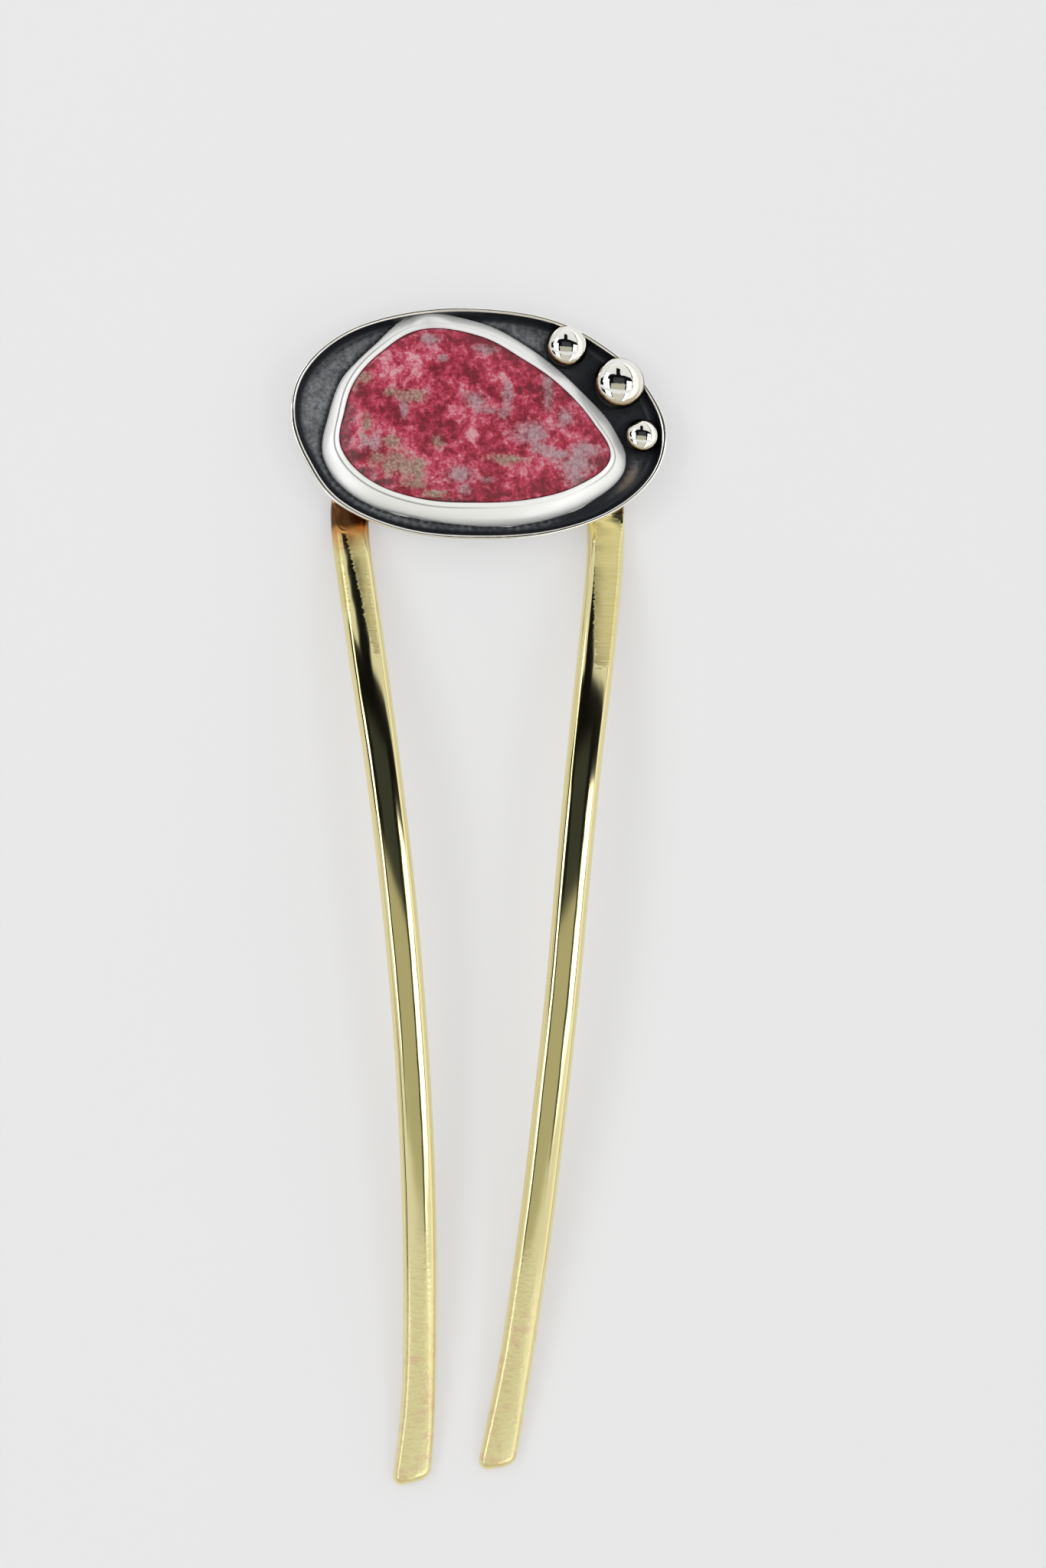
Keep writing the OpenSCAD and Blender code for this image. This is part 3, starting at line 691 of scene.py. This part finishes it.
# %% Place the main clouds of the stone
CLOUDS = {
    # place along and across the pan, reach both ways, in millimetres from the pan's middle
    "lilac": [(6.4, -1.2, 2.4, 1.7), (7.6, -3.0, 1.3, 0.9), (12.5, -4.6, 2.3, 1.7), (13.6, -3.0, 2.2, 1.1),
              (12.2, -6.3, 1.5, 1.3), (10.1, -3.8, 1.7, 0.8), (10.7, 1.0, 1.1, 1.3), (8.6, 4.4, 0.8, 2.6),
              (3.2, 3.6, 0.9, 1.6), (2.8, 1.4, 0.9, 0.9), (-0.8, 2.8, 1.6, 1.0), (0.9, 1.5, 1.7, 0.5),
              (-2.4, -6.8, 1.6, 1.0), (-1.8, -8.6, 0.9, 0.8), (0.9, -7.3, 1.0, 0.5), (0.6, 9.6, 1.7, 0.7),
              (-6.8, 10.5, 1.5, 0.8), (-5.0, 8.0, 0.7, 0.5), (-13.6, -3.2, 1.5, 1.4), (-9.9, 1.5, 0.6, 1.7)],
    "olive": [(-9.3, 3.1, 2.0, 0.9), (-11.4, 3.3, 1.2, 0.6), (-14.5, -0.6, 0.6, 1.5), (-11.5, -2.9, 1.4, 0.8),
              (-10.8, -5.6, 2.2, 1.7), (-8.2, -6.3, 1.2, 1.4), (-8.5, -8.2, 1.9, 0.7), (-5.8, -9.3, 1.5, 0.5),
              (-5.5, -2.7, 0.9, 0.8), (-13.2, -5.0, 1.2, 1.0), (-14.9, 5.2, 1.0, 0.9), (3.2, -4.6, 2.7, 0.7),
              (-16.0, 4.0, 0.4, 1.0)],
    "crimson": [(6.4, 4.8, 1.9, 2.6), (7.6, 2.2, 1.2, 1.4), (5.2, 6.0, 1.3, 1.0), (-2.0, 10.0, 3.4, 1.6),
                (-2.5, 6.5, 3.0, 2.2), (-6.5, 1.0, 2.6, 2.4), (-6.0, -1.2, 2.4, 1.6), (-1.8, -3.8, 2.2, 1.6),
                (0.5, -2.8, 1.6, 1.2), (-4.5, -7.2, 1.2, 1.2), (-3.8, -8.9, 0.9, 0.8), (1.8, -8.8, 2.4, 0.9),
                (2.9, -6.9, 0.9, 0.9), (8.6, -7.4, 1.5, 1.3), (5.8, -8.6, 1.5, 0.8), (2.8, -0.3, 1.2, 1.0),
                (-11.5, 0.5, 1.6, 1.4), (-12.5, 3.4, 1.3, 0.6), (10.8, 3.6, 1.2, 0.9), (13.2, 0.3, 1.0, 1.4),
                (15.3, -4.8, 1.2, 0.9), (-15.2, -4.8, 0.6, 0.6)],
    "blush": [(-1.0, -0.9, 1.6, 1.4), (-3.0, 0.6, 1.0, 1.0), (-10.6, 6.4, 1.6, 1.0), (-8.8, 6.6, 0.7, 2.6),
              (2.2, 5.4, 1.6, 1.0), (-13.8, -2.0, 1.4, 1.2), (8.6, 0.6, 0.5, 0.8), (12.0, -1.2, 1.4, 0.8),
              (-9.2, -4.3, 0.9, 0.8), (-2.6, -3.6, 0.6, 0.9), (5.6, -5.8, 1.0, 0.8), (1.2, 2.3, 1.6, 0.7)],
    "dark": [(-17.0, 0.5, 0.9, 1.7), (-17.2, -2.5, 0.8, 1.5), (-16.2, -4.8, 0.9, 0.9),
             (-14.5, -6.8, 1.2, 0.6), (-12.0, -8.0, 1.4, 0.4), (-4.5, -10.0, 4.0, 0.3),
             (14.0, -6.8, 1.4, 0.4)],
}
spots = np.array([v.co for v in cabochon.data.vertices])[:, :2] / MM - pan_middle
for cloud, places in CLOUDS.items():
    field = np.zeros(len(spots))
    for x, y, reach_x, reach_y in places:
        away = ((spots[:, 0] - x) / reach_x) ** 2 + ((spots[:, 1] - y) / reach_y) ** 2
        field = np.maximum(field, np.exp(-0.6 * away))
    paint(cabochon, cloud, field)
print({name: len(places) for name, places in CLOUDS.items()})

# %% [markdown]
# ## The stone's finish
# Layers of colour lie over each other as in the mineral: a mottled rose ground that sinks to crimson in
# the deep places, lilac and olive clouds torn by fine noise, pale grains, and thin dark veins. The
# polish is a satin one.

# %% The stone's material
stone, tree, shader = new_finish("rose_stone", IOR=1.6, Specular_IOR_Level=0.3)
place = millimetres(tree)


def swirl(place, size, reach):
    """The place moved about by noise, so that what is drawn on it flows like rock."""
    bend = put(tree, "TexNoise", {"Vector": place, "Scale": 1 / size, "Detail": 3.0}).outputs["Color"]
    bend = put(tree, "VectorMath", {0: bend, 1: (0.5, 0.5, 0.5)}, operation="SUBTRACT").outputs[0]
    bend = put(tree, "VectorMath", {0: bend, "Scale": reach}, operation="SCALE").outputs[0]
    return put(tree, "VectorMath", {0: place, 1: bend}, operation="ADD").outputs[0]


flowing = swirl(swirl(place, 5.0, 5.0), 1.0, 0.9)
coarse = noise(tree, flowing, 3.2, 8.0, 0.62)
middling = noise(tree, swirl(place, 1.6, 1.5), 1.1, 8.0, 0.68)
fine = noise(tree, place, 0.42, 6.0, 0.75)


def added(*terms):
    """The sum of several (noise, weight) terms in the material at hand, each counted from its middle."""
    total = 0.0
    for term, weight in terms:
        share = maths(tree, "MULTIPLY", maths(tree, "SUBTRACT", term, 0.5), weight)
        total = maths(tree, "ADD", total, share)
    return total


def cloud_share(name, start, end):
    """How much of a named cloud shows, with its border torn by the noises."""
    torn = maths(tree, "ADD", painted(tree, name), added((middling, 1.9), (coarse, 1.2), (fine, 0.9)))
    strength = between(tree, coarse, 0.3, 0.62, 0.62, 0.95)
    return maths(tree, "MULTIPLY", between(tree, torn, start, end), strength)


rose = maths(tree, "ADD", 0.5, added((coarse, 1.7), (middling, 2.1), (fine, 1.3)))
rose = maths(tree, "SUBTRACT", rose, maths(tree, "MULTIPLY", painted(tree, "crimson"), 0.24))
rose = maths(tree, "ADD", rose, maths(tree, "MULTIPLY", painted(tree, "blush"), 0.22))
ramp = put(tree, "ValToRGB", {0: rose})
ROSE_STOPS = [(0.08, (0.15, 0.010, 0.022)), (0.28, (0.27, 0.015, 0.038)), (0.46, (0.41, 0.031, 0.073)),
              (0.62, (0.50, 0.074, 0.130)), (0.78, (0.57, 0.18, 0.24)), (0.94, (0.62, 0.31, 0.34))]
while len(ramp.color_ramp.elements) < len(ROSE_STOPS):
    ramp.color_ramp.elements.new(0.5)
for stop, (where, colour) in zip(ramp.color_ramp.elements, ROSE_STOPS):
    stop.position = where
    stop.color = (*colour, 1)
ground = ramp.outputs[0]
lilac = mixed(tree, between(tree, fine, 0.35, 0.65), (0.27, 0.16, 0.185), (0.44, 0.31, 0.34))
ground = mixed(tree, cloud_share("lilac", 0.28, 1.05), ground, lilac)
olive = mixed(tree, between(tree, fine, 0.35, 0.65), (0.16, 0.10, 0.075), (0.42, 0.32, 0.25))
ground = mixed(tree, cloud_share("olive", 0.32, 1.05), ground, olive)
speckled = maths(tree, "MULTIPLY", between(tree, painted(tree, "dark"), 0.25, 0.8),
                 between(tree, fine, 0.42, 0.58, 0.15, 1.0))
ground = mixed(tree, speckled, ground, (0.06, 0.035, 0.033))
pale = maths(tree, "MULTIPLY", between(tree, middling, 0.58, 0.72), between(tree, fine, 0.5, 0.62))
ground = mixed(tree, maths(tree, "MULTIPLY", pale, 0.55), ground, (0.64, 0.38, 0.40))
specks = between(tree, noise(tree, place, 0.22, 3.0, 0.8), 0.40, 0.30)
ground = mixed(tree, maths(tree, "MULTIPLY", specks, 0.5), ground, (0.10, 0.045, 0.05))
vein = put(tree, "TexNoise", {"Vector": flowing, "Scale": 0.22, "Detail": 2.0}).outputs["Fac"]
vein = between(tree, maths(tree, "ABSOLUTE", maths(tree, "SUBTRACT", vein, 0.5)), 0.007, 0.001)
vein = maths(tree, "MULTIPLY", vein, between(tree, middling, 0.35, 0.6))
ground = mixed(tree, maths(tree, "MULTIPLY", vein, 0.5), ground, (0.10, 0.035, 0.045))
tree.links.new(ground, shader.inputs["Base Color"])
tree.links.new(between(tree, middling, 0.3, 0.7, 0.36, 0.5), shader.inputs["Roughness"])
bumpy(tree, shader, maths(tree, "ADD", maths(tree, "MULTIPLY", fine, 0.4), middling), 0.02)
cabochon.data.materials.append(stone)

# %% [markdown]
# ## Brass
# The prongs are polished to a greenish gold mirror. Near the pan the smith left the marks of a fine
# abrasive, which run across the bar, and the solder's heat left orange and brown on the left prong. The
# last centimetres of the tips are satin, with a breath of pink tarnish. The painted numbers say how far
# along the bar a point lies, on which prong it is, and how deep inside a brushed patch.

# %% The brass material
brass, tree, shader = new_finish("brass", Metallic=1.0)
place = millimetres(tree)
along = painted(tree, "along")
side = painted(tree, "side")
ripple = noise(tree, millimetres(tree, (1, 0.22, 1)), 1.8, 1.0)
brush = noise(tree, millimetres(tree, (0.3, 2.4, 1.0)), 0.8, 4.0, 0.75)
clouds = noise(tree, place, 5.0, 4.0)
ragged = maths(tree, "ADD", painted(tree, "brushed"), added((brush, 1.4)))
brushed = between(tree, ragged, -0.05, 0.25)
satin = between(tree, maths(tree, "ADD", along, maths(tree, "MULTIPLY", clouds, 6.0)), 93.0, 106.0)
colour = mixed(tree, clouds, (0.83, 0.75, 0.38), (0.88, 0.80, 0.46))
tan = maths(tree, "MULTIPLY", brushed, between(tree, brush, 0.3, 0.7, 0.35, 0.85))
colour = mixed(tree, tan, colour, (0.76, 0.65, 0.26))
pink = maths(tree, "MULTIPLY", satin, between(tree, noise(tree, place, 2.0), 0.5, 0.7))
colour = mixed(tree, maths(tree, "MULTIPLY", pink, 0.45), colour, (0.80, 0.50, 0.36))
heat = maths(tree, "ADD", along, added((clouds, 5.0)))
left = between(tree, side, 0.3, -0.3)
heat_left = maths(tree, "MULTIPLY", between(tree, heat, 5.8, 2.8), left)
colour = mixed(tree, maths(tree, "MULTIPLY", heat_left, 0.85), colour, (0.62, 0.24, 0.05))
# Black where the left prong meets the pan: heat scale, and painted shade of the pan's edge.
burnt_and_shaded = maths(tree, "MULTIPLY", between(tree, heat, 3.0, 1.5), left)
colour = mixed(tree, maths(tree, "MULTIPLY", burnt_and_shaded, 0.9), colour, (0.07, 0.03, 0.015))
tree.links.new(colour, shader.inputs["Base Color"])
gloss = maths(tree, "ADD", 0.085, maths(tree, "MULTIPLY", brushed, 0.16))
gloss = maths(tree, "ADD", gloss, maths(tree, "MULTIPLY", satin, 0.175))
tree.links.new(gloss, shader.inputs["Roughness"])
tree.links.new(maths(tree, "SUBTRACT", 1.0, maths(tree, "MULTIPLY", satin, 0.22)), shader.inputs["Metallic"])
marks = maths(tree, "MULTIPLY", maths(tree, "MULTIPLY", brush, brushed), 0.5)
pores = maths(tree, "MULTIPLY", maths(tree, "MULTIPLY", noise(tree, place, 0.5, 3.0), satin), 1.2)
height = maths(tree, "ADD", maths(tree, "MULTIPLY", ripple, 0.8), maths(tree, "ADD", marks, pores))
bumpy(tree, shader, height, 0.03)
fork.data.materials.append(brass)

# %% [markdown]
# ## Pieces on the part's body
# Each skin rides on the part's one body, and the solid that it dresses is hidden.

# %% Tie the pieces to the part
for piece in (pan, bezel, *balls):
    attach(piece, "root")
    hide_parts("setting")
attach(cabochon, "root")
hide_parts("cabochon")
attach(fork, "root")
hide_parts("fork")
print("tied:", [piece.name for piece in (pan, bezel, *balls, cabochon, fork)])

# %% [markdown]
# ## Floor and light tent
# Polished metal is photographed in a tent of white cloth with one opening for the camera. The metal
# shows the tent as white, the opening as black, and the lamps at its two sides as hard white strips.
# The tent is painted in the world's shader by direction, straight up being the middle of the opening.
# Only the metal mirrors it: the camera itself sees a plain pale backdrop beyond the table.


# %% The floor
def floor_sheet():
    """A square sheet of paper, three metres wide."""
    mesh = bpy.data.meshes.new("floor")
    half = 1.5
    corners = [(-half, -half, 0), (half, -half, 0), (half, half, 0), (-half, half, 0)]
    mesh.from_pydata(corners, [], [(0, 1, 2, 3)])
    piece = bpy.data.objects.new("floor", mesh)
    bpy.context.scene.collection.objects.link(piece)
    return piece


floor = floor_sheet()
paper, tree, shader = new_finish("white_paper", Roughness=0.8)
fibres = noise(tree, millimetres(tree), 60.0)
tree.links.new(mixed(tree, fibres, (0.435, 0.435, 0.445), (0.445, 0.445, 0.455)), shader.inputs["Base Color"])
shader.inputs["Emission Color"].default_value = (1.0, 1.0, 1.02, 1)
shader.inputs["Emission Strength"].default_value = 0.35
floor.data.materials.append(paper)

# %% Directions in the tent
world = bpy.data.worlds.new("light_tent")
bpy.context.scene.world = world
world.use_nodes = True
tree = world.node_tree
direction = put(tree, "TexCoord").outputs["Generated"]
parts = put(tree, "SeparateXYZ", {0: direction})
above = maths(tree, "MAXIMUM", parts.outputs["Z"], 0.02)
side_way = maths(tree, "DIVIDE", parts.outputs["X"], above)
up_way = maths(tree, "DIVIDE", parts.outputs["Y"], above)
overhead = between(tree, parts.outputs["Z"], 0.05, 0.12)


def window(left, right, bottom, top, soft, slant=0.0):
    """1 inside a rectangle of directions, 0 outside. A slant lowers the top edge towards the right."""
    up = maths(tree, "ADD", up_way, maths(tree, "MULTIPLY", side_way, slant))
    share = overhead
    for value, start, end in ((side_way, left - soft, left + soft), (side_way, right + soft, right - soft),
                              (up_way, bottom - soft, bottom + soft), (up, top + soft, top - soft)):
        share = maths(tree, "MULTIPLY", share, between(tree, value, start, end))
    return share


def strip(inner, rise, towards):
    """1 in a strip of directions, left (-1) or right (1), that starts as a point and widens upwards."""
    width = maths(tree, "MULTIPLY", maths(tree, "SUBTRACT", up_way, rise), 7.0)
    reach = maths(tree, "SUBTRACT", maths(tree, "MULTIPLY", side_way, towards), inner)
    inside = between(tree, maths(tree, "SUBTRACT", width, reach), -0.06, 0.06)
    return maths(tree, "MULTIPLY", overhead,
                 maths(tree, "MULTIPLY", between(tree, reach, -0.012, 0.012), inside))


# %% [markdown]
# ## Painting the tent
# First comes the cloth, brighter on the right. The black windows are the camera's opening and the seams,
# the white ones are lamps, and the tan ones are the table's edge. Two pairs of strips start as points, so
# the lines on the prongs begin thin where the prongs arch down to the table.

# %% The light tent
cloth = mixed(tree, between(tree, up_way, 0.4, 2.5), (0.80, 0.80, 0.78), (0.86, 0.86, 0.83))
cloth = mixed(tree, between(tree, side_way, 0.7, 1.3), cloth, (1.05, 1.04, 1.0))
cloth = mixed(tree, between(tree, side_way, 2.4, 4.0), cloth, (0.80, 0.80, 0.77))
cloth = mixed(tree, between(tree, side_way, -2.4, -3.6), cloth, (0.70, 0.70, 0.68))
light = mixed(tree, between(tree, up_way, -1.7, -2.1), cloth, (0.50, 0.45, 0.34))
SEAM, BLACK, TAN = (0.05, 0.05, 0.05), (0.004, 0.004, 0.005), (0.47, 0.46, 0.36)
LAMP_WHITE, STRIP_WHITE = (2.2, 2.2, 2.2), (2.4, 2.4, 2.4)
WINDOWS = [
    # left, right, bottom, top, softness, slant, colour
    (-1.52, -1.40, 0.30, 8.0, 0.02, 0.0, SEAM),
    (0.93, 1.06, 0.45, 8.0, 0.015, 0.0, SEAM),
    (-3.2, 1.0, -0.10, 0.54, 0.02, 0.15, BLACK),
    (-0.16, 0.12, 0.4, 1.2, 0.02, 0.8, BLACK),
    (-0.30, 0.30, -0.02, 0.33, 0.05, 0.0, (0.045, 0.05, 0.05)),
    (-0.52, 0.42, -1.9, -0.62, 0.02, 0.0, (0.62, 0.60, 0.51)),
    (-3.2, -0.52, -1.3, -0.62, 0.02, 0.0, BLACK),
    (0.42, 0.92, -2.4, -0.62, 0.02, 0.0, BLACK),
    (-1.35, -0.62, -1.2, -0.62, 0.02, 0.0, LAMP_WHITE),
    (0.50, 0.88, -2.3, -0.62, 0.02, 0.0, LAMP_WHITE),
    (-0.48, 0.40, -0.335, 0.01, 0.02, 0.0, TAN),
]
for *edges, soft, slant, colour in WINDOWS:
    light = mixed(tree, window(*edges, soft, slant), light, colour)
print(len(WINDOWS), "windows in the tent")


def cut_strip(inner, rise, towards, edges):
    """A strip that a window with these edges cuts off."""
    return maths(tree, "MULTIPLY", strip(inner, rise, towards), window(*edges, 0.012))


dark_left = cut_strip(0.46, -0.345, -1, (-3.2, 0.0, -0.5, 0.30))
dark_right = cut_strip(0.36, -0.345, 1, (0.0, 1.0, -0.5, 0.30))
light = mixed(tree, maths(tree, "ADD", dark_left, dark_right), light, BLACK)
white_left = cut_strip(0.60, -0.335, -1, (-1.35, 0.0, -0.5, 0.30))
white_right = cut_strip(0.48, -0.335, 1, (0.0, 0.90, -0.5, 0.20))
light = mixed(tree, maths(tree, "ADD", white_left, white_right), light, STRIP_WHITE)
seen = put(tree, "LightPath").outputs["Is Camera Ray"]
light = mixed(tree, seen, light, (0.80, 0.80, 0.81))
tree.links.new(light, tree.nodes["Background"].inputs["Color"])
tree.nodes["Background"].inputs["Strength"].default_value = 1.0

# %% [markdown]
# ## Lamps
# The tent alone lights the table evenly. A lamp on the left gives the soft shadows a direction, and a
# wide one above, which the metal doesn't mirror, keeps them pale.


# %% Two soft lamps
def soft_lamp(name, place, aim, long_side, short_side, watts, mirrored=True):
    """A rectangular lamp in metres, turned towards its aim."""
    lamp = bpy.data.lights.new(name, "AREA")
    lamp.shape = "RECTANGLE"
    lamp.size, lamp.size_y = long_side, short_side
    lamp.energy = watts
    piece = bpy.data.objects.new(name, lamp)
    bpy.context.scene.collection.objects.link(piece)
    piece.visible_glossy = mirrored
    piece.location = place
    piece.rotation_euler = (Vector(aim) - Vector(place)).to_track_quat("-Z", "Y").to_euler()
    print(name, watts, "W")


soft_lamp("lamp_left", (-0.9, 0.5, 0.9), (0, 0, 0), 0.8, 0.38, 1.5)
soft_lamp("lamp_above", (-0.3, 0.2, 1.4), (0, 0, 0), 1.8, 1.8, 8.0, mirrored=False)

# %% [markdown]
# ## Camera
# The camera stands half a metre above the table, a little to the left of the fork and towards its tips.
# Its place and turn were found by matching the outline of the pan and the prongs.

# %% The camera
CAMERA_FROM_PAN, CAMERA_TURN, LENS = (-54.80, -80.34, 484.76), (3.923, -7.358, 1.212), 87.89
camera = bpy.data.objects.new("camera", bpy.data.cameras.new("camera"))
bpy.context.scene.collection.objects.link(camera)
bpy.context.scene.camera = camera
camera.location = (Vector(CAMERA_FROM_PAN) + Vector((pan_middle[0], pan_middle[1], 0))) * MM
camera.rotation_euler = Euler([math.radians(turn) for turn in CAMERA_TURN])
camera.data.lens = LENS
camera.data.sensor_width = 36.0
camera.data.clip_start = 0.01
bpy.context.scene.view_settings.view_transform = "Standard"
print("camera at", [round(c / MM, 1) for c in camera.location], "mm")
